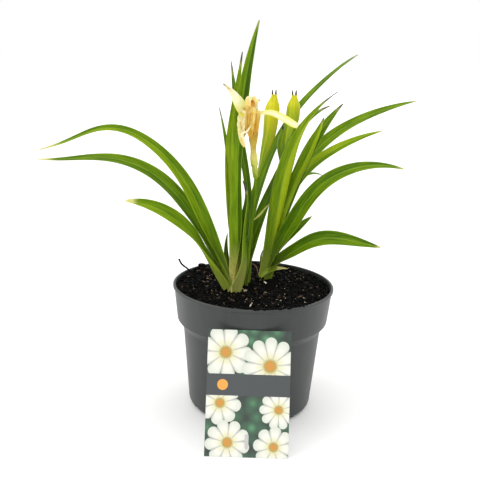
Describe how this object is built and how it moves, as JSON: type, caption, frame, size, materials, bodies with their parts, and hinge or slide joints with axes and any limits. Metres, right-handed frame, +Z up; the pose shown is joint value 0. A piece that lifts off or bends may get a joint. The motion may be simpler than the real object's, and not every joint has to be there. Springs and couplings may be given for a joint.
{
  "type": "potted daylily plant",
  "caption": "Daylily with arching strap leaves, closed buds and a spent bloom, growing in a round nursery pot of soil, with a plant label leaning on the pot.",
  "frame": {"origin": "on the floor under the middle of the pot's round base", "axes": "+Z up; +Y towards the pot's back, away from the plant label, which leans on the pot's front; +X towards the shorter right-hand leaves"},
  "size_m": [0.4177, 0.2809, 0.3917],
  "materials": {
    "pot_plastic": "satin",
    "potting_soil": "matte",
    "leaf_green": "satin",
    "leaf_light": "satin",
    "leaf_dark": "satin",
    "stalk_green": "satin",
    "bud_yellow": "satin",
    "petal_cream": "matte",
    "petal_withered": "matte",
    "petal_brown": "matte",
    "label_print": "satin",
    "litter_brown": "matte"
  },
  "bodies": {
    "root": {"pot": "pot_plastic", "soil": "potting_soil", "crown_left": "litter_brown", "crown_middle": "litter_brown", "crown_right": "litter_brown", "stalk_main": "stalk_green", "stalk_back": "stalk_green", "bloom_body": "petal_withered", "bud_1": "bud_yellow", "bud_2": "bud_yellow", "bud_3": "bud_yellow", "stamen": "petal_cream", "style": "petal_cream", "petal_left": "petal_cream", "petal_right": "petal_cream", "petal_curled": "petal_brown", "petal_upright": "petal_cream", "petals_hanging": "petal_withered", "bract_1": "leaf_light", "leaf_left_1": "leaf_light", "leaf_left_2": "leaf_light", "leaf_left_3": "leaf_green", "leaf_left_4": "leaf_green", "leaf_left_5": "leaf_green", "leaf_left_6": "leaf_dark", "leaf_left_7": "leaf_dark", "leaf_left_8": "leaf_dark", "leaf_middle_1": "leaf_dark", "leaf_middle_2": "leaf_dark", "leaf_middle_3": "leaf_dark", "leaf_right_1": "leaf_green", "leaf_right_2": "leaf_green", "leaf_right_3": "leaf_green", "leaf_right_4": "leaf_dark", "leaf_right_5": "leaf_light", "leaf_right_6": "leaf_dark", "leaf_right_7": "leaf_light", "leaf_back_1": "leaf_dark", "leaf_back_2": "leaf_dark", "leaf_back_3": "leaf_light", "leaf_back_4": "leaf_green", "leaf_back_5": "leaf_dark", "leaf_back_6": "leaf_dark", "plant_label": "label_print", "twig": "litter_brown", "root_fibre": "litter_brown", "straw": "litter_brown"}
  },
  "joints": []
}
